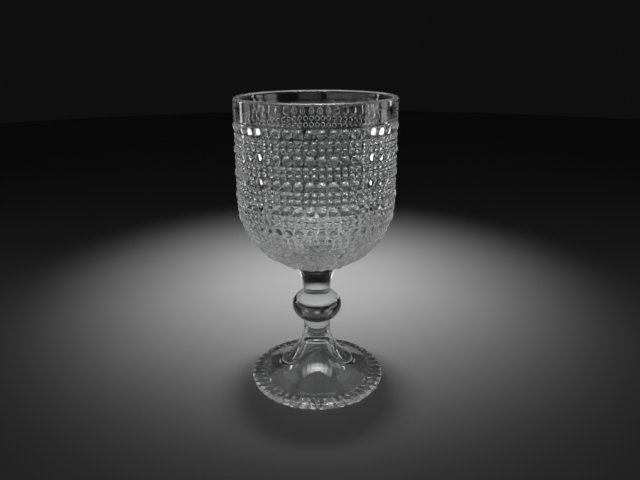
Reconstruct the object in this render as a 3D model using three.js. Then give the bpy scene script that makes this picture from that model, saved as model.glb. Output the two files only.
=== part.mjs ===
// Pressed-glass goblet for red wine: a bowl covered in rows of round beads, a short neck, a ball
// knop and a trumpet foot with a ribbed edge, four pieces fused face to face on one axis.
// Millimetres, +Z up, origin on the table under the centre of the foot. The front faces -Y.
import * as THREE from "three";

// Heights of the four pieces, from the table up
const FOOT_HEIGHT = 37.8;
const KNOP_HEIGHT = 16.8;
const NECK_HEIGHT = 14;
const BOWL_HEIGHT = 95.4;

// Fused joints: the two pieces of a joint share its radius
const STEM_RADIUS = 7.7; // foot to knop, and knop to neck
const COLLAR_RADIUS = 10.4; // neck to bowl

// Bowl walls
const LIP_RADIUS = 42.85; // outside of the smooth lip band
const LIP_THICKNESS = 3.1;
const LIP_BAND = 11.8; // height of the smooth band above the beads
const BAND_BEVEL = 0.8; // height of the bevel under the band
const BAND_STEP = 0.75; // how far the band stands out from the wall between the beads
const WALL = 3.6; // glass under the beads where the straight wall ends
const INSIDE_BEND = 0.2; // how far in from there the inside's curve bends towards
const INSIDE_BEND_HEIGHT = 38.1; // height of that bend above the end of the straight wall
const ROUND_HEIGHT = 39.3; // from the bottom of the round part up to the straight wall
const COLLAR_HEIGHT = 2; // from the neck joint up to the bottom of the round part
const COLLAR_FILLET = 2.2; // how far out the fillet above the neck reaches
const BOTTOM_THICKNESS = 8; // from the neck joint up to the inside of the bowl

// Bead pattern: one row of large beads, then two rows of small ones, from the band down
const FIRST_ROW = 2.78; // from the band's lower edge to the first large row
const ROW_PITCH = 12.05; // large row to large row, along the wall
const SMALL_ROW_OFFSET = 4.38; // large row to the small rows above and below it
const LARGE_BEAD_RADIUS = 2.38;
const LARGE_BEAD_HEIGHT = 1.25;
const LARGE_BEAD_PITCH = 5.53; // round the bowl
const SMALL_BEAD_RADIUS = 1.46;
const SMALL_BEAD_HEIGHT = 0.8;
const SMALL_BEAD_PITCH = 3.69;
const ROW_GROOVE = 0.3; // plain strip between two rows
const LARGE_PHASE = 0.5; // first bead's place right of the front, in pitches
const SMALL_PHASE = 0.75;

// Facets of a large bead's dome
const DOME_SIDES = 6;
const DOME_RING = 0.55; // share of the bead's radius where its middle ring lies

// Neck and knop
const NECK_WAIST = 7.3; // radius that the neck's curve bends towards above the knop
const NECK_WAIST_HEIGHT = 6.1;
const KNOP_RADIUS = 14.2;

// Foot
const FOOT_RADIUS = 38.75;
const EDGE_BAND = 6.2; // width of the ribbed edge
const TOE_HEIGHT = 4.6; // top of the foot where the ribbed edge starts
const EDGE_THICKNESS = 4.2;
const EDGE_ROUND = 2.2;
const EDGE_UNDERCUT = 0.9; // how far the edge draws in towards the table
const RIB_PITCH = 5.4; // round the edge
const RIB_LAND = 3; // width of a rib's flat crest, which the goblet stands on
const RIB_GROOVE = 1; // depth of the grooves between the ribs
const GROOVE_INSET = 1; // how far in from the ribbed edge the grooves start
const GROOVE_RUN_OUT = 2; // length over which a groove fades in towards the edge
const BEARING_WIDTH = 2; // flat ring inside the ribs
const RECESS = 0.8; // clearance under the foot inside the flat ring
const FLARE_WAIST = 7.7; // radius that the stem bends towards under the knop
const FLARE_DROP = 20.5; // how far down the stem the flare's upper bend reaches
const FLARE_RUN = 15.3; // how far in from the toe the flare's lower bend reaches
const FLARE_RISE = 7.7;
const HOLLOW_MOUTH = 26; // radius where the hollow runs out into the underside
const HOLLOW_BEND = 12; // radius that the hollow's side bends towards above its mouth
const HOLLOW_BEND_HEIGHT = 3; // height of that bend above the mouth
const HOLLOW_TOP = 6;
const HOLLOW_DOME = 4; // height of the hollow's rounded top
const HOLLOW_HEIGHT = 25;

// Facets round and along the plain surfaces
const BOWL_SEGMENTS = 36;
const STEM_SEGMENTS = 28;
const HOLLOW_SEGMENTS = 20;
const WALL_STEPS = 2;
const DOME_STEPS = 3;
const CURVE_STEPS = 4;
const INSIDE_STEPS = 7;
const LONG_CURVE_STEPS = 8;

// Looks of the glass
const GLASS_COLOUR = 0xe6ebea;
const GLASS_OPACITY = 0.35;
const POLISHED = 0.04; // roughness of the bowl and the stem
const HANDLED = 0.07; // and of the foot, which is slid over tables

// Places that follow from the sizes
const KNOP_BASE = FOOT_HEIGHT;
const NECK_BASE = KNOP_BASE + KNOP_HEIGHT;
const BOWL_BASE = NECK_BASE + NECK_HEIGHT;
const LIP_TOP = BOWL_BASE + BOWL_HEIGHT;
const BAND_EDGE = LIP_TOP - LIP_BAND;
const BASE_RADIUS = LIP_RADIUS - BAND_STEP; // straight wall between the beads
const SHOULDER = BOWL_BASE + COLLAR_HEIGHT + ROUND_HEIGHT; // where the straight wall ends
const FULL_TURN = 2 * Math.PI;

// A closed skin woven from rings of points round the Z axis. Turns are counted anticlockwise from
// the front. The rings follow the outline from its lower pole, with the glass always on the left.
class Skin {
  constructor() {
    this.points = [];
    this.triangles = [];
  }

  // One point, at a radius and a height, and a turn from the front.
  point(radius, height, turn) {
    const angle = turn * FULL_TURN;
    this.points.push(radius * Math.sin(angle), -radius * Math.cos(angle), height);
    return { turn, index: this.points.length / 3 - 1 };
  }

  pole(height) {
    return [this.point(0, height, 0)];
  }

  ring(radius, height, count, phase = 0) {
    return turnsOf(count, phase).map((turn) => this.point(radius, height, turn));
  }

  triangle(a, b, c) {
    this.triangles.push(a.index, b.index, c.index);
  }

  // Fills the strip between two rings, stepping along the one whose next point comes first.
  stitch(from, to) {
    const turnAfter = (ring, k) => (k + 1 < ring.length ? ring[k + 1].turn : ring[0].turn + 1);
    let i = from.length === 1 ? 1 : 0;
    let j = to.length === 1 ? 1 : 0;
    while (i < from.length || j < to.length) {
      const here = from[i % from.length];
      const there = to[j % to.length];
      const stepFrom = j === to.length || (i < from.length && turnAfter(from, i) <= turnAfter(to, j));
      if (stepFrom) {
        i += 1;
        this.triangle(here, from[i % from.length], there);
      } else {
        j += 1;
        this.triangle(here, to[j % to.length], there);
      }
    }
  }

  // Stitches each ring to the next one in the list and returns the last.
  weave(rings) {
    rings.slice(1).forEach((ring, k) => this.stitch(rings[k], ring));
    return rings[rings.length - 1];
  }

  geometry() {
    const made = new THREE.BufferGeometry();
    made.setAttribute("position", new THREE.Float32BufferAttribute(this.points, 3));
    made.setIndex(this.triangles);
    made.computeVertexNormals();
    return made;
  }
}

function turnsOf(count, phase) {
  return Array.from({ length: count }, (_, k) => (k + phase) / count);
}

// Points of a profile curve as [radius, height], without its first point.
function along(curve, steps) {
  return curve.getSpacedPoints(steps).slice(1).map((p) => [p.x, p.y]);
}

// The wall that the beads stand on, from the band's lower edge down to the collar's fillet.
function beadWall() {
  const collarAngle = Math.acos((COLLAR_RADIUS + COLLAR_FILLET) / BASE_RADIUS);
  const path = new THREE.CurvePath();
  path.add(
    new THREE.LineCurve(
      new THREE.Vector2(BASE_RADIUS, BAND_EDGE),
      new THREE.Vector2(BASE_RADIUS, SHOULDER),
    ),
  );
  path.add(
    new THREE.EllipseCurve(0, SHOULDER, BASE_RADIUS, ROUND_HEIGHT, 0, -collarAngle, true),
  );
  const length = path.getLength();
  // Radius and height at a distance down the wall, raised from it by a height.
  const at = (distance, raised = 0) => {
    const share = Math.min(distance / length, 1);
    const place = path.getPoint(share);
    const down = path.getTangent(share);
    return [place.x - raised * down.y, place.y + raised * down.x];
  };
  const end = path.getTangent(1);
  return { length, at, endSlope: end.y / end.x };
}

// Rows of the bead pattern that fit on the wall, from the band down. Each row has its distance down
// the wall, its edges above and below that, and its count and height of beads.
function beadRows(wall) {
  const countAt = (distance, pitch) => 2 * Math.round((wall.at(distance)[0] * Math.PI) / pitch);
  const share = LARGE_BEAD_RADIUS / (LARGE_BEAD_RADIUS + SMALL_BEAD_RADIUS);
  const largeReach = SMALL_ROW_OFFSET * share - ROW_GROOVE / 2;
  const smallReach = SMALL_ROW_OFFSET * (1 - share) - ROW_GROOVE / 2;
  const smallGap = ROW_PITCH / 2 - SMALL_ROW_OFFSET; // from a small row to the line between the two
  const rows = [];
  for (let large = FIRST_ROW; large + largeReach < wall.length; large += ROW_PITCH) {
    rows.push({
      large: true,
      distance: large,
      top: large - largeReach,
      bottom: large + largeReach,
      count: countAt(large, LARGE_BEAD_PITCH),
      beadHeight: LARGE_BEAD_HEIGHT,
    });
    const middle = large + ROW_PITCH / 2;
    const upper = middle - smallGap;
    const lower = middle + smallGap;
    const count = countAt(middle, SMALL_BEAD_PITCH);
    const alike = { large: false, count, beadHeight: SMALL_BEAD_HEIGHT };
    const pair = [
      { ...alike, distance: upper, top: upper - smallReach, bottom: middle },
      { ...alike, distance: lower, top: middle, bottom: lower + smallReach },
    ];
    rows.push(...pair.filter((row) => row.bottom < wall.length));
  }
  return rows;
}

// A ring of points part of the way up a large bead's dome, with turns counted round the bead.
function domeRing(skin, wall, distance, middle) {
  const reach = LARGE_BEAD_RADIUS * DOME_RING;
  const raised = LARGE_BEAD_HEIGHT * (1 - DOME_RING ** 2);
  return turnsOf(DOME_SIDES, 0).map((turn) => {
    const right = reach * Math.cos(turn * FULL_TURN);
    const up = reach * Math.sin(turn * FULL_TURN);
    const [radius, height] = wall.at(distance - up, raised);
    const { index } = skin.point(radius, height, middle + right / (radius * FULL_TURN));
    return { turn, index };
  });
}

// One row of beads between its lower and upper rings, each woven from its four corners to its tip:
// a large one as a dome, a small one as a point.
function addRow(skin, wall, row, lower, upper) {
  const tipPlace = wall.at(row.distance, row.beadHeight);
  lower.forEach((corner, k) => {
    const next = (k + 1) % row.count;
    const middle = corner.turn + 0.5 / row.count;
    const corners = [upper[next], upper[k], corner, lower[next]];
    const border = turnsOf(corners.length, 0.5).map((turn, side) => {
      return { turn, index: corners[side].index };
    });
    const dome = row.large ? [domeRing(skin, wall, row.distance, middle)] : [];
    skin.weave([border, ...dome, [skin.point(...tipPlace, middle)]]);
  });
}

// The outside of the bowl from the collar up to the lip band. Returns its topmost ring.
function addBeads(skin, wall, collarTop) {
  const rows = beadRows(wall).reverse();
  return rows.reduce((below, row, k) => {
    const phase = (row.large ? LARGE_PHASE : SMALL_PHASE) - 0.5;
    const ringAt = (distance) => skin.ring(...wall.at(distance), row.count, phase);
    const sharesRing = k > 0 && rows[k - 1].top === row.bottom;
    const lower = sharesRing ? below : skin.weave([below, ringAt(row.bottom)]);
    const upper = ringAt(row.top);
    addRow(skin, wall, row, lower, upper);
    return upper;
  }, collarTop);
}

function bowlGeometry() {
  const skin = new Skin();
  const wall = beadWall();
  const [filletRadius, filletHeight] = wall.at(wall.length);
  const filletDrop = (filletRadius - COLLAR_RADIUS) * wall.endSlope;
  const collar = new THREE.QuadraticBezierCurve(
    new THREE.Vector2(COLLAR_RADIUS, BOWL_BASE),
    new THREE.Vector2(COLLAR_RADIUS, filletHeight - filletDrop),
    new THREE.Vector2(filletRadius, filletHeight),
  );
  const lipRound = LIP_THICKNESS / 2;
  const lip = new THREE.EllipseCurve(
    LIP_RADIUS - lipRound, LIP_TOP - lipRound, lipRound, lipRound, 0, Math.PI, false,
  );
  const floor = BOWL_BASE + BOTTOM_THICKNESS;
  const insideRadius = BASE_RADIUS - WALL;
  const insideWall = new THREE.QuadraticBezierCurve(
    new THREE.Vector2(LIP_RADIUS - LIP_THICKNESS, LIP_TOP - lipRound),
    new THREE.Vector2(insideRadius - INSIDE_BEND, SHOULDER + INSIDE_BEND_HEIGHT),
    new THREE.Vector2(insideRadius, SHOULDER),
  );
  const insideRound = new THREE.EllipseCurve(
    0, SHOULDER, insideRadius, SHOULDER - floor, 0, -Math.PI / 2, true,
  );

  const stemRing = ([radius, height]) => skin.ring(radius, height, STEM_SEGMENTS);
  const bowlRing = ([radius, height]) => skin.ring(radius, height, BOWL_SEGMENTS);
  const collarTop = skin.weave([
    skin.pole(BOWL_BASE),
    stemRing([COLLAR_RADIUS, BOWL_BASE]),
    ...along(collar, CURVE_STEPS).map(stemRing),
  ]);
  skin.weave([
    addBeads(skin, wall, collarTop),
    bowlRing([BASE_RADIUS, BAND_EDGE]),
    bowlRing([LIP_RADIUS, BAND_EDGE + BAND_BEVEL]),
    bowlRing([LIP_RADIUS, LIP_TOP - lipRound]),
    ...along(lip, CURVE_STEPS).map(bowlRing),
    ...along(insideWall, WALL_STEPS).map(bowlRing),
    ...along(insideRound, INSIDE_STEPS).slice(0, -1).map(bowlRing),
    skin.pole(floor),
  ]);
  return skin.geometry();
}

// A solid of revolution from an outline given as Vector2 points of radius and height.
function turned(outline, base, top) {
  const closed = [new THREE.Vector2(0, base), ...outline, new THREE.Vector2(0, top)];
  return new THREE.LatheGeometry(closed, STEM_SEGMENTS).rotateX(Math.PI / 2);
}

function neckGeometry() {
  const side = new THREE.QuadraticBezierCurve(
    new THREE.Vector2(STEM_RADIUS, NECK_BASE),
    new THREE.Vector2(NECK_WAIST, NECK_BASE + NECK_WAIST_HEIGHT),
    new THREE.Vector2(COLLAR_RADIUS, BOWL_BASE),
  );
  return turned(side.getSpacedPoints(CURVE_STEPS), NECK_BASE, BOWL_BASE);
}

// An oblate ball cut off flat above and below, where the stem's joints are.
function knopGeometry() {
  const cut = Math.acos(STEM_RADIUS / KNOP_RADIUS);
  const rise = KNOP_HEIGHT / 2 / Math.sin(cut);
  const side = new THREE.EllipseCurve(
    0, KNOP_BASE + KNOP_HEIGHT / 2, KNOP_RADIUS, rise, -cut, cut, false,
  );
  return turned(side.getSpacedPoints(LONG_CURVE_STEPS), KNOP_BASE, NECK_BASE);
}

// The ribs under the edge of the foot: rings whose points lie on the ribs' crests and in the
// grooves between them, with a groove at the front.
function addRibs(skin, inner, start) {
  const count = Math.round((FOOT_RADIUS * FULL_TURN) / RIB_PITCH);
  const land = RIB_LAND / (FOOT_RADIUS * FULL_TURN) / 2;
  const ribbed = (crest, groove) =>
    Array.from({ length: count }, (_, k) => [
      skin.point(...groove, k / count),
      skin.point(...crest, (k + 0.5) / count - land),
      skin.point(...crest, (k + 0.5) / count + land),
    ]).flat();
  const sideHeight = EDGE_THICKNESS - EDGE_ROUND;
  const undercutAt = (height) => FOOT_RADIUS - EDGE_UNDERCUT * (1 - height / sideHeight);
  return skin.weave([
    inner,
    ribbed([start, 0], [start, 0]),
    ribbed([start + GROOVE_RUN_OUT, 0], [start + GROOVE_RUN_OUT, RIB_GROOVE]),
    ribbed([undercutAt(0), 0], [undercutAt(RIB_GROOVE), RIB_GROOVE]),
    ribbed([FOOT_RADIUS, sideHeight], [FOOT_RADIUS, sideHeight]),
  ]);
}

function footGeometry() {
  const skin = new Skin();
  const toeRadius = FOOT_RADIUS - EDGE_BAND;
  const grooveStart = toeRadius - GROOVE_INSET;
  const bearing = grooveStart - BEARING_WIDTH;
  const dome = new THREE.EllipseCurve(
    0, HOLLOW_HEIGHT - HOLLOW_DOME, HOLLOW_TOP, HOLLOW_DOME, Math.PI / 2, 0, true,
  );
  const hollow = new THREE.QuadraticBezierCurve(
    new THREE.Vector2(HOLLOW_TOP, HOLLOW_HEIGHT - HOLLOW_DOME),
    new THREE.Vector2(HOLLOW_BEND, RECESS + HOLLOW_BEND_HEIGHT),
    new THREE.Vector2(HOLLOW_MOUTH, RECESS),
  );
  const edge = new THREE.EllipseCurve(
    FOOT_RADIUS - EDGE_ROUND, EDGE_THICKNESS - EDGE_ROUND, EDGE_ROUND, EDGE_ROUND, 0, Math.PI / 2, false,
  );
  const flare = new THREE.CubicBezierCurve(
    new THREE.Vector2(toeRadius, TOE_HEIGHT),
    new THREE.Vector2(toeRadius - FLARE_RUN, TOE_HEIGHT + FLARE_RISE),
    new THREE.Vector2(FLARE_WAIST, FOOT_HEIGHT - FLARE_DROP),
    new THREE.Vector2(STEM_RADIUS, FOOT_HEIGHT),
  );

  const stemRing = ([radius, height]) => skin.ring(radius, height, STEM_SEGMENTS);
  const bowlRing = ([radius, height]) => skin.ring(radius, height, BOWL_SEGMENTS);
  const hollowRing = ([radius, height]) => skin.ring(radius, height, HOLLOW_SEGMENTS);
  const underside = skin.weave([
    skin.pole(HOLLOW_HEIGHT),
    ...along(dome, DOME_STEPS).map(hollowRing),
    ...along(hollow, CURVE_STEPS).map(hollowRing),
    bowlRing([bearing, RECESS]),
    bowlRing([bearing, 0]),
  ]);
  skin.weave([
    addRibs(skin, underside, grooveStart),
    ...along(edge, CURVE_STEPS / 2).map(bowlRing),
    bowlRing([toeRadius, TOE_HEIGHT]),
    ...along(flare, LONG_CURVE_STEPS).map(stemRing),
    skin.pole(FOOT_HEIGHT),
  ]);
  return skin.geometry();
}

// One piece of clear colourless glass.
function piece(name, geometry, roughness) {
  const glass = new THREE.MeshStandardMaterial({
    color: GLASS_COLOUR,
    roughness,
    metalness: 0,
    transparent: true,
    opacity: GLASS_OPACITY,
  });
  const mesh = new THREE.Mesh(geometry, glass);
  mesh.name = name;
  return mesh;
}

const goblet = new THREE.Group();
goblet.add(piece("bowl", bowlGeometry(), POLISHED));
goblet.add(piece("upper_stem", neckGeometry(), POLISHED));
goblet.add(piece("knop", knopGeometry(), POLISHED));
goblet.add(piece("foot", footGeometry(), HANDLED));

export default goblet;
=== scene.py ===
"""The looks of the beaded wine glass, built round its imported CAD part.

Metres, +Z up, the front towards -Y. Sizes are written in millimetres, as in the part's source.
"""

import math

import bmesh
import bpy
import numpy as np
from mathutils import Matrix, Vector


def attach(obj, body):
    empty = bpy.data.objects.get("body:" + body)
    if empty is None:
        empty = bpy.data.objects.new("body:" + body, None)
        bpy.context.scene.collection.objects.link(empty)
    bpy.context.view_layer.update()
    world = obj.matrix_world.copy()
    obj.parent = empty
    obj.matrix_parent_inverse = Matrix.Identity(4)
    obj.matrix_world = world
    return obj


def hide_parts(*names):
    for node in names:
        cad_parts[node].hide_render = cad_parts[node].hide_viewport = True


MM = 0.001
FULL_TURN = 2 * math.pi

# Heights of the four pieces, from the table up
FOOT_HEIGHT = 37.8
KNOP_HEIGHT = 16.8
NECK_HEIGHT = 14.0
BOWL_HEIGHT = 95.4

# Fused joints
STEM_RADIUS = 7.7
COLLAR_RADIUS = 10.4

# Bowl walls
LIP_RADIUS = 42.85
LIP_THICKNESS = 3.1
LIP_BAND = 11.8
BAND_BEVEL = 0.8
BAND_STEP = 0.75
WALL = 3.6
INSIDE_BEND = 0.2
INSIDE_BEND_HEIGHT = 38.1
ROUND_HEIGHT = 39.3
COLLAR_HEIGHT = 2.0
COLLAR_FILLET = 2.2
BOTTOM_THICKNESS = 8.0

# Bead pattern
FIRST_ROW = 2.78
ROW_PITCH = 12.05
SMALL_ROW_OFFSET = 4.38
ROW_GROOVE = 0.16
LARGE_BEAD = {"radius": 2.38, "height": 1.25, "pitch": 5.53, "phase": 0.5, "sides": 14}
SMALL_BEAD = {"radius": 1.46, "height": 0.8, "pitch": 3.69, "phase": 0.75, "sides": 10}
LARGE_RINGS = (1.0, 0.93, 0.82, 0.66, 0.46, 0.23)
SMALL_RINGS = (1.0, 0.9, 0.72, 0.49, 0.25)

# Neck and knop
NECK_WAIST = 7.3
NECK_WAIST_HEIGHT = 6.1
KNOP_RADIUS = 14.2

# Foot
FOOT_RADIUS = 38.75
EDGE_BAND = 6.2
TOE_HEIGHT = 4.6
EDGE_THICKNESS = 4.2
EDGE_ROUND = 2.2
EDGE_UNDERCUT = 0.9
RIB_PITCH = 5.4
RIB_LAND = 3.0
RIB_GROOVE = 1.0
GROOVE_INSET = 1.0
GROOVE_RUN_OUT = 2.0
BEARING_WIDTH = 2.0
RECESS = 0.8
FLARE_WAIST = 7.7
FLARE_DROP = 20.5
FLARE_RUN = 15.3
FLARE_RISE = 7.7
HOLLOW_MOUTH = 26.0
HOLLOW_BEND = 12.0
HOLLOW_BEND_HEIGHT = 3.0
HOLLOW_TOP = 6.0
HOLLOW_DOME = 4.0
HOLLOW_HEIGHT = 25.0

# Small roundings: of the band's bevel, of the ring that the foot stands on, and of the ribs
BEVEL_FOOT_OUT = 0.12
BEVEL_FOOT_DOWN = 0.1
BEVEL_TOP_IN = 0.25
BEVEL_TOP_DOWN = 0.2
BEVEL_TOP_UP = 0.15
BEARING_IN = 0.4
BEARING_DOWN = 0.15
BEARING_OUT = 0.1
CREST_CORNER = 0.5
CREST_RISE = 0.14
GROOVE_CORNER = 0.2

# How a groove between two ribs begins: shares of its run-out, each with its share of the depth
GROOVE_START = ((0, 0), (1 / 3, 0.3), (0.7, 0.8), (1, 1))

# Points round the smooth surfaces and round one rib, and plain rings up the lip band
SEGMENTS = 96
RIB_POINTS = 8
BAND_RINGS = 4
BAND_FIRST_RING = 2.0

# Samples down the beaded wall, and the step that gives its slope
WALL_SAMPLES = 4000
SLOPE_STEP = 0.02

# Edges bent by more degrees than this are sharp, and turns closer than this are one turn
CREASE = 32
SAME_TURN = 1e-6

# The floor lies this far below the ribs, so that the two are not in one plane
FLOOR_GAP = 0.1
FLOOR_RINGS = (300.0, 700.0, 1500.0)

# The photograph's viewpoint, in metres and degrees
CAMERA_PLACE = (0.0, -0.305, 0.18785)
CAMERA_DOWN = 18.6
CAMERA_ROLL = -0.37

# Places in the studio, in metres
BOWL_MIDDLE = (0, 0, 0.11)
KNOP_MIDDLE = (0, 0, 0.052)
FOOT_FRONT = (0, -0.02, 0.012)
SPOT_PLACE = (0, 0.15, 0.85)
POOL_MIDDLE = (0, 0.15, 0)
BACK_PLACE = (0, 1.6, 0.85)
FILL_PLACE = (0.12, -0.75, 0.22)
SIDE_DISTANCE = 0.55

# Softboxes at the sides: name, degrees from the front to the right, lower and upper edge, width, glow
SIDE_BOXES = (
    ("left_strip", -118, 0.06, 0.285, 0.06, 1.8),
    ("left_back_panel", -102, 0.06, 0.235, 0.13, 0.5),
    ("left_panel", -78, 0.06, 0.285, 0.23, 0.35),
    ("left_panel", -54, 0.06, 0.285, 0.23, 0.35),
    ("left_panel", -30, 0.06, 0.285, 0.23, 0.35),
    ("right_panel", 78, 0.045, 0.285, 0.23, 0.7),
    ("right_back_panel", 102, 0.045, 0.25, 0.13, 0.8),
    ("right_strip", 118, 0.11, 0.29, 0.05, 2.0),
)

# Softboxes above the front: degrees from the front to the right, and glow
FRONT_BOXES = ((-72, 0.2), (-48, 0.5), (-24, 0.75), (0, 0.85), (24, 0.75), (48, 0.5), (72, 0.2))

# The room round the lights, and how often light may bounce in the glass
DARK_ROOM = (0.005, 0.005, 0.005, 1)
BOUNCES = 32

# Places that follow from the sizes
KNOP_BASE = FOOT_HEIGHT
NECK_BASE = KNOP_BASE + KNOP_HEIGHT
BOWL_BASE = NECK_BASE + NECK_HEIGHT
LIP_TOP = BOWL_BASE + BOWL_HEIGHT
BAND_EDGE = LIP_TOP - LIP_BAND
BASE_RADIUS = LIP_RADIUS - BAND_STEP
SHOULDER = BOWL_BASE + COLLAR_HEIGHT + ROUND_HEIGHT

# The kinds of face, in the order of a piece's materials
GLASS = 0
JOINT = 1


def turns_of(count, phase=0.0):
    return [(k + phase) / count for k in range(count)]


class Skin:
    """A closed surface woven from rings of (turn, index) points round the Z axis."""

    def __init__(self):
        self.points = []
        self.faces = []
        self.kinds = []

    def point(self, radius, height, turn):
        angle = turn * FULL_TURN
        self.points.append((radius * math.sin(angle), -radius * math.cos(angle), height))
        return turn, len(self.points) - 1

    def pole(self, height):
        return [self.point(0.0, height, 0.0)]

    def ring(self, radius, height, count=SEGMENTS, phase=0.0):
        return [self.point(radius, height, turn) for turn in turns_of(count, phase)]

    def face(self, kind, *corners):
        self.faces.append([index for _, index in corners])
        self.kinds.append(kind)

    def stitch(self, lower, upper, kind=GLASS):
        """Fills the strip between two rings, with quads where their points stand over each other."""
        n, m = len(lower), len(upper)
        if n == m and n > 1 and abs(lower[0][0] - upper[0][0]) < SAME_TURN:
            for k in range(n):
                after = (k + 1) % n
                self.face(kind, lower[k], lower[after], upper[after], upper[k])
            return

        def turn_after(ring, k):
            return ring[k + 1][0] if k + 1 < len(ring) else ring[0][0] + 1

        i = 1 if n == 1 else 0
        j = 1 if m == 1 else 0
        while i < n or j < m:
            here, there = lower[i % n], upper[j % m]
            if j == m or (i < n and turn_after(lower, i) <= turn_after(upper, j)):
                i += 1
                self.face(kind, here, lower[i % n], there)
            else:
                j += 1
                self.face(kind, here, upper[j % m], there)

    def weave(self, rings, kind=GLASS):
        for lower, upper in zip(rings, rings[1:]):
            self.stitch(lower, upper, kind)
        return rings[-1]

    def piece(self, name):
        """The surface as a smooth mesh object, with sharp edges at its creases and joint faces."""
        mesh = bpy.data.meshes.new(name)
        mesh.from_pydata([[c * MM for c in p] for p in self.points], [], self.faces)
        mesh.polygons.foreach_set("material_index", self.kinds)
        mesh.polygons.foreach_set("use_smooth", [True] * len(self.faces))
        shape = bmesh.new()
        shape.from_mesh(mesh)
        crease = math.radians(CREASE)
        for edge in shape.edges:
            one, two = edge.link_faces
            same = one.material_index == two.material_index
            edge.smooth = same and one.normal.angle(two.normal, 0.0) < crease
        shape.to_mesh(mesh)
        shape.free()
        made = bpy.data.objects.new(name, mesh)
        bpy.context.scene.collection.objects.link(made)
        return made


# Profile curves, as lists of (radius, height)
def bezier(points, steps):
    control = np.array(points, float)
    shares = np.linspace(0, 1, steps + 1)
    degree = len(control) - 1
    weights = [
        math.comb(degree, k) * shares**k * (1 - shares) ** (degree - k) for k in range(degree + 1)
    ]
    return [tuple(p) for p in np.stack(weights, 1) @ control]


def arc(centre, radii, start, end, steps):
    angles = np.linspace(math.radians(start), math.radians(end), steps + 1)
    return [
        (centre[0] + radii[0] * math.cos(a), centre[1] + radii[1] * math.sin(a)) for a in angles
    ]


class BeadWall:
    """The wall under the beads, by distance from the lip band's lower edge down to the collar."""

    def __init__(self):
        end = math.acos((COLLAR_RADIUS + COLLAR_FILLET) / BASE_RADIUS)
        angles = np.linspace(0, end, WALL_SAMPLES)
        radii = np.concatenate([[BASE_RADIUS], BASE_RADIUS * np.cos(angles)])
        heights = np.concatenate([[BAND_EDGE], SHOULDER - ROUND_HEIGHT * np.sin(angles)])
        steps = np.hypot(np.diff(radii), np.diff(heights))
        self.distances = np.concatenate([[0], np.cumsum(steps)])
        self.radii, self.heights = radii, heights
        self.length = float(self.distances[-1])
        self.end_slope = ROUND_HEIGHT / BASE_RADIUS / math.tan(end)

    def flat(self, distance):
        return (
            float(np.interp(distance, self.distances, self.radii)),
            float(np.interp(distance, self.distances, self.heights)),
        )

    def at(self, distance, raised=0.0):
        """Radius and height at a distance down the wall, raised from it by a height."""
        distance = min(max(distance, 0.0), self.length)
        radius, height = self.flat(distance)
        if raised == 0.0:
            return radius, height
        above = self.flat(max(distance - SLOPE_STEP, 0.0))
        below = self.flat(min(distance + SLOPE_STEP, self.length))
        down = np.array([below[0] - above[0], below[1] - above[1]])
        down /= np.linalg.norm(down)
        return radius - raised * down[1], height + raised * down[0]


def bead_rows(wall):
    """Rows of the pattern from the band down: one of large beads, then two of small ones."""
    share = LARGE_BEAD["radius"] / (LARGE_BEAD["radius"] + SMALL_BEAD["radius"])
    large_reach = SMALL_ROW_OFFSET * share - ROW_GROOVE / 2
    small_reach = SMALL_ROW_OFFSET * (1 - share) - ROW_GROOVE / 2
    small_gap = ROW_PITCH / 2 - SMALL_ROW_OFFSET
    margin = ROW_GROOVE / 2

    def count_at(distance, bead):
        return 2 * round(wall.at(distance)[0] * math.pi / bead["pitch"])

    rows = []
    large = FIRST_ROW
    while large + large_reach + margin < wall.length:
        count = count_at(large, LARGE_BEAD)
        rows.append((LARGE_BEAD, large, large - large_reach, large + large_reach, count))
        middle = large + ROW_PITCH / 2
        upper, lower = middle - small_gap, middle + small_gap
        count = count_at(middle, SMALL_BEAD)
        if middle + margin < wall.length:
            rows.append((SMALL_BEAD, upper, upper - small_reach, middle, count))
        if lower + small_reach + margin < wall.length:
            rows.append((SMALL_BEAD, lower, middle, lower + small_reach, count))
        large += ROW_PITCH
    return rows


def dome_height(bead, share):
    """Height of a bead at a share of its radius: the cap of a ball."""
    ball = (bead["radius"] ** 2 + bead["height"] ** 2) / (2 * bead["height"])
    return math.sqrt(ball**2 - (share * bead["radius"]) ** 2) - ball + bead["height"]


def add_beads(skin, wall, below):
    """The beaded outside of the bowl, from the collar up. Returns its topmost ring."""
    rows = bead_rows(wall)[::-1]
    for k, (bead, distance, top, bottom, count) in enumerate(rows):
        phase = bead["phase"] - 0.5
        shares_ring = k > 0 and rows[k - 1][2] == bottom
        lower = below if shares_ring else skin.ring(*wall.at(bottom), count, phase)
        if not shares_ring:
            skin.stitch(below, lower)
        upper = skin.ring(*wall.at(top), count, phase)
        shares = LARGE_RINGS if bead is LARGE_BEAD else SMALL_RINGS
        tip_place = wall.at(distance, bead["height"])
        for n in range(count):
            after = (n + 1) % count
            middle = (n + phase + 0.5) / count
            corners = (upper[after], upper[n], lower[n], lower[after])
            rings = [[((s + 0.5) / 4, corner[1]) for s, corner in enumerate(corners)]]
            for share in shares:
                reach = bead["radius"] * share
                raised = dome_height(bead, share)
                ring = []
                for turn in turns_of(bead["sides"]):
                    right = reach * math.cos(turn * FULL_TURN)
                    up = reach * math.sin(turn * FULL_TURN)
                    radius, height = wall.at(distance - up, raised)
                    place = skin.point(radius, height, middle + right / (radius * FULL_TURN))
                    ring.append((turn, place[1]))
                rings.append(ring)
            rings.append([skin.point(*tip_place, middle)])
            skin.weave(rings)
        below = upper
    return below


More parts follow.
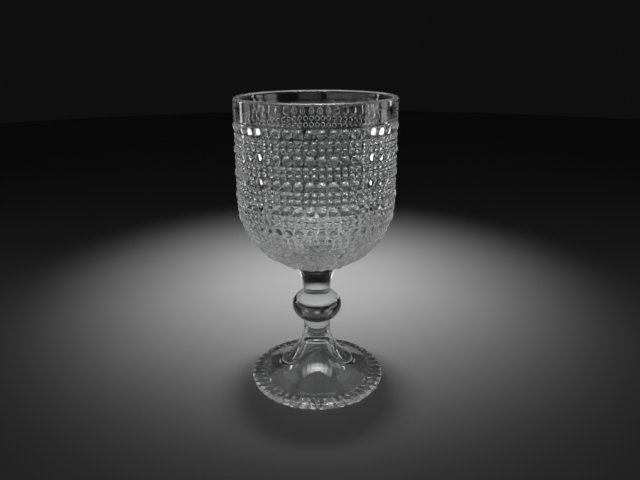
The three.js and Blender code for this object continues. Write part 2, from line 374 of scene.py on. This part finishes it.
def make_bowl():
    skin = Skin()
    wall = BeadWall()
    fillet = wall.at(wall.length)
    drop = (fillet[0] - COLLAR_RADIUS) * wall.end_slope
    collar_bend = (COLLAR_RADIUS, fillet[1] - drop)
    collar = bezier([(COLLAR_RADIUS, BOWL_BASE), collar_bend, fillet], steps=8)
    lip_round = LIP_THICKNESS / 2
    lip_centre = (LIP_RADIUS - lip_round, LIP_TOP - lip_round)
    lip = arc(lip_centre, (lip_round, lip_round), start=0, end=180, steps=12)
    inside_radius = BASE_RADIUS - WALL
    inside_depth = SHOULDER - BOWL_BASE - BOTTOM_THICKNESS
    inside = arc((0, SHOULDER), (inside_radius, inside_depth), start=0, end=-90, steps=28)
    bend = (inside_radius - INSIDE_BEND, SHOULDER + INSIDE_BEND_HEIGHT)
    inside_wall = bezier([lip[-1], bend, inside[0]], steps=12)[1:-1]

    base = skin.ring(*collar[0])
    skin.stitch(skin.pole(BOWL_BASE), base, JOINT)
    below = skin.weave([base, *[skin.ring(*p) for p in collar[1:]]])
    below = add_beads(skin, wall, below)
    bevel_top = BAND_EDGE + BAND_BEVEL
    band_heights = np.linspace(BAND_EDGE + BAND_FIRST_RING, lip_centre[1], BAND_RINGS + 1)[:-1]
    outside = [
        (BASE_RADIUS, BAND_EDGE - BEVEL_FOOT_DOWN),
        (BASE_RADIUS + BEVEL_FOOT_OUT, BAND_EDGE),
        (LIP_RADIUS - BEVEL_TOP_IN, bevel_top - BEVEL_TOP_DOWN),
        (LIP_RADIUS, bevel_top + BEVEL_TOP_UP),
        *[(LIP_RADIUS, height) for height in band_heights],
    ]
    profile = [*outside, *lip, *inside_wall, *inside[:-1]]
    rings = [skin.ring(*p) for p in profile]
    skin.weave([below, *rings, skin.pole(inside[-1][1])])
    return skin.piece("bowl_glass")


def make_turned(name, side):
    """A turned piece between two flat joint faces."""
    skin = Skin()
    rings = [skin.ring(*p) for p in side]
    skin.stitch(skin.pole(side[0][1]), rings[0], JOINT)
    skin.weave(rings)
    skin.stitch(rings[-1], skin.pole(side[-1][1]), JOINT)
    return skin.piece(name)


def make_neck():
    waist = (NECK_WAIST, NECK_BASE + NECK_WAIST_HEIGHT)
    side = bezier([(STEM_RADIUS, NECK_BASE), waist, (COLLAR_RADIUS, BOWL_BASE)], steps=14)
    return make_turned("neck_glass", side)


def make_knop():
    cut = math.acos(STEM_RADIUS / KNOP_RADIUS)
    rise = KNOP_HEIGHT / 2 / math.sin(cut)
    middle = (0, KNOP_BASE + KNOP_HEIGHT / 2)
    reach = math.degrees(cut)
    side = arc(middle, (KNOP_RADIUS, rise), start=-reach, end=reach, steps=24)
    return make_turned("knop_glass", side)


def groove_share(turn, count):
    """How deep in a groove between two ribs a turn lies, from 0 on a crest to 1."""
    off = turn * count - round(turn * count)
    width = 1 - RIB_LAND / RIB_PITCH
    return 0.5 + 0.5 * math.cos(FULL_TURN * off / width) if abs(off) < width / 2 else 0.0


def make_foot():
    skin = Skin()
    toe = FOOT_RADIUS - EDGE_BAND
    start = toe - GROOVE_INSET
    bearing = start - BEARING_WIDTH
    count = round(FOOT_RADIUS * FULL_TURN / RIB_PITCH)

    def ribbed(crest, groove):
        ring = []
        for turn in turns_of(count * RIB_POINTS):
            depth = groove_share(turn, count)
            radius, height = (c + depth * (g - c) for c, g in zip(crest, groove))
            ring.append(skin.point(radius, height, turn))
        return ring

    dome_centre = (0, HOLLOW_HEIGHT - HOLLOW_DOME)
    dome = arc(dome_centre, (HOLLOW_TOP, HOLLOW_DOME), start=90, end=0, steps=8)
    bend = (HOLLOW_BEND, RECESS + HOLLOW_BEND_HEIGHT)
    side = bezier([dome[-1], bend, (HOLLOW_MOUTH, RECESS)], steps=24)
    under = [
        *dome[1:],
        *side[1:],
        (bearing - BEARING_IN, RECESS),
        (bearing, RECESS - BEARING_DOWN),
        (bearing + BEARING_OUT, 0.0),
    ]
    side_top = EDGE_THICKNESS - EDGE_ROUND

    def undercut(height):
        return FOOT_RADIUS - EDGE_UNDERCUT * (1 - height / side_top)

    ribs = []
    for along, deep in GROOVE_START:
        radius = start + GROOVE_RUN_OUT * along
        ribs.append(ribbed((radius, 0.0), (radius, RIB_GROOVE * deep)))
    crest = undercut(0)
    groove = undercut(RIB_GROOVE)
    groove_round = GROOVE_CORNER / 2
    ribs += [
        ribbed((crest - CREST_CORNER, 0.0), (crest - GROOVE_CORNER, RIB_GROOVE)),
        ribbed((crest, CREST_RISE), (groove - groove_round, RIB_GROOVE)),
        ribbed((undercut(CREST_CORNER), CREST_CORNER), (groove, RIB_GROOVE + groove_round)),
        ribbed((FOOT_RADIUS, side_top), (FOOT_RADIUS, side_top)),
    ]
    edge_centre = (FOOT_RADIUS - EDGE_ROUND, EDGE_THICKNESS - EDGE_ROUND)
    edge = arc(edge_centre, (EDGE_ROUND, EDGE_ROUND), start=0, end=90, steps=8)[1:]
    flare = bezier(
        [
            (toe, TOE_HEIGHT),
            (toe - FLARE_RUN, TOE_HEIGHT + FLARE_RISE),
            (FLARE_WAIST, FOOT_HEIGHT - FLARE_DROP),
            (STEM_RADIUS, FOOT_HEIGHT),
        ],
        steps=36,
    )
    rings = [skin.pole(HOLLOW_HEIGHT), *[skin.ring(*p) for p in under], *ribs]
    rings += [skin.ring(*p) for p in [*edge, *flare]]
    skin.weave(rings)
    skin.stitch(rings[-1], skin.pole(FOOT_HEIGHT), JOINT)
    return skin.piece("foot_glass")


# Materials
def new_material(name):
    made = bpy.data.materials.new(name)
    made.use_nodes = True
    made.node_tree.nodes.clear()
    return made, made.node_tree.nodes, made.node_tree.links


def glass_material(name, rough_low, rough_high, ripple):
    """Pressed glass: clear, with the faint waviness of a fire-polished surface and patchy polish."""
    made, nodes, links = new_material(name)
    output = nodes.new("ShaderNodeOutputMaterial")
    shader = nodes.new("ShaderNodeBsdfPrincipled")
    shader.inputs["Base Color"].default_value = (0.985, 0.993, 0.99, 1)
    shader.inputs["Transmission Weight"].default_value = 1.0
    shader.inputs["IOR"].default_value = 1.51
    place = nodes.new("ShaderNodeTexCoord")

    patches = nodes.new("ShaderNodeTexNoise")
    patches.inputs["Scale"].default_value = 70.0
    patches.inputs["Detail"].default_value = 4.0
    spread = nodes.new("ShaderNodeMapRange")
    spread.inputs["From Min"].default_value = 0.35
    spread.inputs["From Max"].default_value = 0.7
    spread.inputs["To Min"].default_value = rough_low
    spread.inputs["To Max"].default_value = rough_high
    links.new(place.outputs["Object"], patches.inputs["Vector"])
    links.new(patches.outputs["Fac"], spread.inputs["Value"])
    links.new(spread.outputs["Result"], shader.inputs["Roughness"])

    waves = nodes.new("ShaderNodeTexNoise")
    waves.inputs["Scale"].default_value = 160.0
    waves.inputs["Detail"].default_value = 2.0
    waves.inputs["Distortion"].default_value = 0.4
    bump = nodes.new("ShaderNodeBump")
    bump.inputs["Strength"].default_value = ripple
    bump.inputs["Distance"].default_value = 0.0006
    links.new(place.outputs["Object"], waves.inputs["Vector"])
    links.new(waves.outputs["Fac"], bump.inputs["Height"])
    links.new(bump.outputs["Normal"], shader.inputs["Normal"])
    links.new(shader.outputs["BSDF"], output.inputs["Surface"])
    return made


def joint_material():
    """The face where two pieces are fused: the glass goes on through it, so it shows nothing."""
    made, nodes, links = new_material("fused_joint")
    output = nodes.new("ShaderNodeOutputMaterial")
    shader = nodes.new("ShaderNodeBsdfTransparent")
    links.new(shader.outputs["BSDF"], output.inputs["Surface"])
    return made


def floor_material():
    """A plain pale table top with a very faint mottle."""
    made, nodes, links = new_material("pale_floor")
    output = nodes.new("ShaderNodeOutputMaterial")
    shader = nodes.new("ShaderNodeBsdfPrincipled")
    shader.inputs["Roughness"].default_value = 0.75
    place = nodes.new("ShaderNodeTexCoord")
    mottle = nodes.new("ShaderNodeTexNoise")
    mottle.inputs["Scale"].default_value = 9.0
    mottle.inputs["Detail"].default_value = 5.0
    tones = nodes.new("ShaderNodeValToRGB")
    tones.color_ramp.elements[0].color = (0.39, 0.39, 0.395, 1)
    tones.color_ramp.elements[1].color = (0.45, 0.45, 0.45, 1)
    links.new(place.outputs["Object"], mottle.inputs["Vector"])
    links.new(mottle.outputs["Fac"], tones.inputs["Fac"])
    links.new(tones.outputs["Color"], shader.inputs["Base Color"])
    links.new(shader.outputs["BSDF"], output.inputs["Surface"])
    return made


# Stage
def make_floor():
    skin = Skin()
    rings = [skin.ring(radius, -FLOOR_GAP) for radius in FLOOR_RINGS]
    skin.weave([skin.pole(-FLOOR_GAP), *rings])
    mesh = bpy.data.meshes.new("floor")
    mesh.from_pydata([[c * MM for c in p] for p in skin.points], [], skin.faces)
    floor = bpy.data.objects.new("floor", mesh)
    floor.data.materials.append(floor_material())
    bpy.context.scene.collection.objects.link(floor)


def add_light(name, light, place, aim):
    made = bpy.data.objects.new(name, light)
    made.location = place
    made.rotation_euler = (Vector(aim) - Vector(place)).to_track_quat("-Z", "Y").to_euler()
    bpy.context.scene.collection.objects.link(made)
    return made


def add_floor_spot():
    """A soft spot overhead, for the floor alone. Its pool of light behind the glass lights the beads."""
    light = bpy.data.lights.new("floor_spot", "SPOT")
    light.energy = 34.0
    light.shadow_soft_size = 0.10
    light.spot_size = math.radians(25)
    light.spot_blend = 1.0
    made = add_light("floor_spot", light, SPOT_PLACE, POOL_MIDDLE)
    made.visible_glossy = False
    made.visible_transmission = False


def add_softbox(name, place, aim, size, glow, spread):
    """A softbox for the glass alone. Its glow is its power for each square metre."""
    light = bpy.data.lights.new(name, "AREA")
    light.shape = "RECTANGLE"
    light.size, light.size_y = size
    light.energy = glow * size[0] * size[1]
    light.spread = math.radians(spread)
    made = add_light(name, light, place, aim)
    made.visible_diffuse = False
    return made


def place_round(azimuth, distance, height):
    """A place round the glass, at degrees from the front towards the right."""
    turn = math.radians(azimuth)
    return distance * math.sin(turn), -distance * math.cos(turn), height


def add_lights():
    add_floor_spot()
    for name, azimuth, low, high, width, glow in SIDE_BOXES:
        place = place_round(azimuth, SIDE_DISTANCE, (low + high) / 2)
        add_softbox(name, place, BOWL_MIDDLE, (width, high - low), glow, spread=60)
    for azimuth in (-120, 120):
        place = place_round(azimuth, distance=0.49, height=0.55)
        add_softbox("high_panel", place, BOWL_MIDDLE, size=(0.5, 0.4), glow=1.6, spread=180)
    # Only the outside of the glass shows the front boxes: they make the light patch on the foot
    for azimuth, glow in FRONT_BOXES:
        place = place_round(azimuth, distance=0.26, height=0.595)
        front = add_softbox("front_softbox", place, FOOT_FRONT, (0.115, 0.3), glow, spread=26)
        front.visible_transmission = False
    for azimuth in (140, 160, 180, 200, 220):
        place = place_round(azimuth, distance=0.8, height=0.2)
        add_softbox("knop_softbox", place, KNOP_MIDDLE, size=(0.27, 0.2), glow=0.006, spread=14)
    add_softbox("back_panel", BACK_PLACE, BOWL_MIDDLE, size=(2.0, 1.0), glow=0.01, spread=90)
    add_softbox("camera_fill", FILL_PLACE, BOWL_MIDDLE, size=(0.5, 0.3), glow=0.4, spread=90)


def make_camera():
    """The photograph's viewpoint: a little above the lip, looking down at the stem."""
    camera = bpy.data.cameras.new("camera")
    camera.sensor_width = 36.0
    camera.lens = 32.29
    camera.shift_x = 0.0055
    camera.clip_start = 0.01
    made = bpy.data.objects.new("camera", camera)
    down = math.radians(CAMERA_DOWN)
    roll = math.radians(CAMERA_ROLL)
    turn = Matrix.Rotation(math.pi / 2 - down, 4, "X") @ Matrix.Rotation(roll, 4, "Z")
    made.matrix_world = Matrix.Translation(CAMERA_PLACE) @ turn
    bpy.context.scene.collection.objects.link(made)
    bpy.context.scene.camera = made


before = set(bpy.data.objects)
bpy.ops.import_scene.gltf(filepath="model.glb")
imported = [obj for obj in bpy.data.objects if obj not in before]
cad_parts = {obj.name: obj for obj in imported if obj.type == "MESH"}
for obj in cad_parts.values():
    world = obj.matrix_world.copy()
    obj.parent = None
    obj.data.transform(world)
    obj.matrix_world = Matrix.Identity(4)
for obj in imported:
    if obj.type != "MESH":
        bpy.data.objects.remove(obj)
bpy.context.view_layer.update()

make_camera()
make_floor()

joint = joint_material()
clear = glass_material("clear_glass", rough_low=0.0, rough_high=0.004, ripple=0.02)
worn = glass_material("foot_clear_glass", rough_low=0.0, rough_high=0.02, ripple=0.03)
for node, piece, look in (
    ("bowl", make_bowl(), clear),
    ("upper_stem", make_neck(), clear),
    ("knop", make_knop(), clear),
    ("foot", make_foot(), worn),
):
    piece.data.materials.append(look)
    piece.data.materials.append(joint)
    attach(piece, "root")
    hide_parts(node)

add_lights()

scene = bpy.context.scene
world = bpy.data.worlds.new("studio")
world.use_nodes = True
world.node_tree.nodes["Background"].inputs["Color"].default_value = DARK_ROOM
scene.world = world
scene.cycles.use_denoising = True
scene.cycles.max_bounces = BOUNCES
scene.cycles.glossy_bounces = BOUNCES
scene.cycles.transmission_bounces = BOUNCES
scene.cycles.transparent_max_bounces = BOUNCES
scene.view_settings.view_transform = "Standard"
